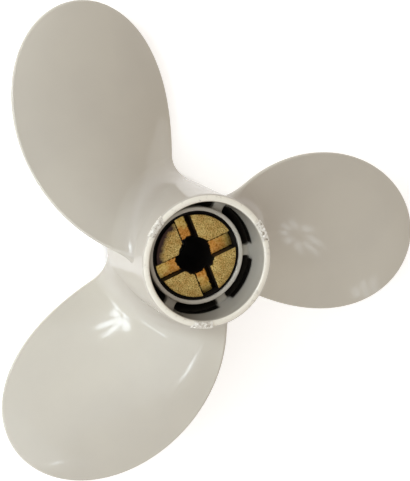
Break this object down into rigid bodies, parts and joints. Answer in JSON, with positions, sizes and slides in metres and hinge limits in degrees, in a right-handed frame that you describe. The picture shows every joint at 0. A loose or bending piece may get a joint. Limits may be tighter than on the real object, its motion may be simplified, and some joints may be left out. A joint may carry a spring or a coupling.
{
  "type": "outboard motor propeller",
  "caption": "Small white outboard motor propeller: broad right-hand blades on an exhaust hub, with a rubber mounted brass bush slotted for a drive pin.",
  "frame": {"origin": "on the shaft axis, in the plane of the rear rim that the propeller stands on", "axes": "+Z along the shaft axis from the rear rim to the front end, which faces the engine; +X at one of the webs, which is also close under the middle of blade 1"},
  "size_m": [0.1594, 0.1711, 0.0512],
  "materials": {
    "enamel": "gloss",
    "brass": "matte",
    "rubber": "matte"
  },
  "bodies": {
    "root": {"hub_barrel": "enamel", "inner_sleeve": "enamel", "web_1": "enamel", "web_2": "enamel", "web_3": "enamel", "web_4": "enamel", "web_5": "enamel", "web_6": "enamel", "rim_pad_1": "enamel", "rim_pad_2": "enamel", "rim_pad_3": "enamel", "blade_1": "enamel", "blade_2": "enamel", "blade_3": "enamel", "rubber_bush": "rubber", "drive_bush": "brass"}
  },
  "joints": []
}
